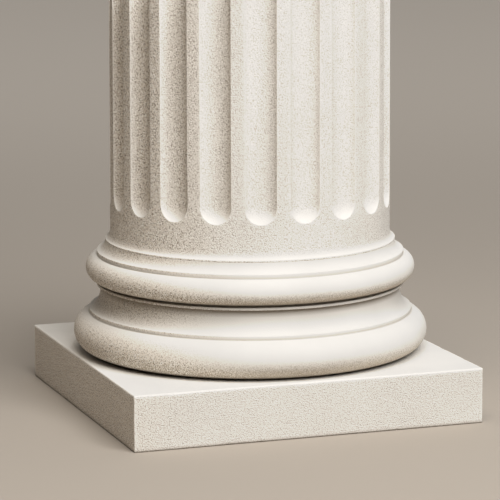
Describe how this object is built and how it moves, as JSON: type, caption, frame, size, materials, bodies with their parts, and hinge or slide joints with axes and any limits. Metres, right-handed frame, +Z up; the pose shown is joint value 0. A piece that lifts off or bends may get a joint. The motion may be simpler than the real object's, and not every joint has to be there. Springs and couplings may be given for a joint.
{
  "type": "column base",
  "caption": "Stone column base: square plinth, two rounded mouldings around a hollow, and the cut-off foot of a fluted shaft.",
  "frame": {"origin": "middle of the plinth's underside, on the column's axis", "axes": "+Z up the column's axis, X and Y square to the plinth's sides, -Y the plinth's front; the middle of a flute stands 3 degrees from -Y, towards +X"},
  "size_m": [0.38, 0.38, 0.448],
  "materials": {
    "plinth_stone": "fine-grained cream limestone, rubbed, with dark and pale grains on upright faces",
    "base_stone": "fine-grained cream limestone, rubbed smooth on its upper curves, grainy under them",
    "shaft_stone": "fine-grained cream limestone, rubbed, with dark and pale grains"
  },
  "bodies": {
    "root": {"plinth": "plinth_stone", "base": "base_stone", "shaft": "shaft_stone"}
  },
  "joints": []
}
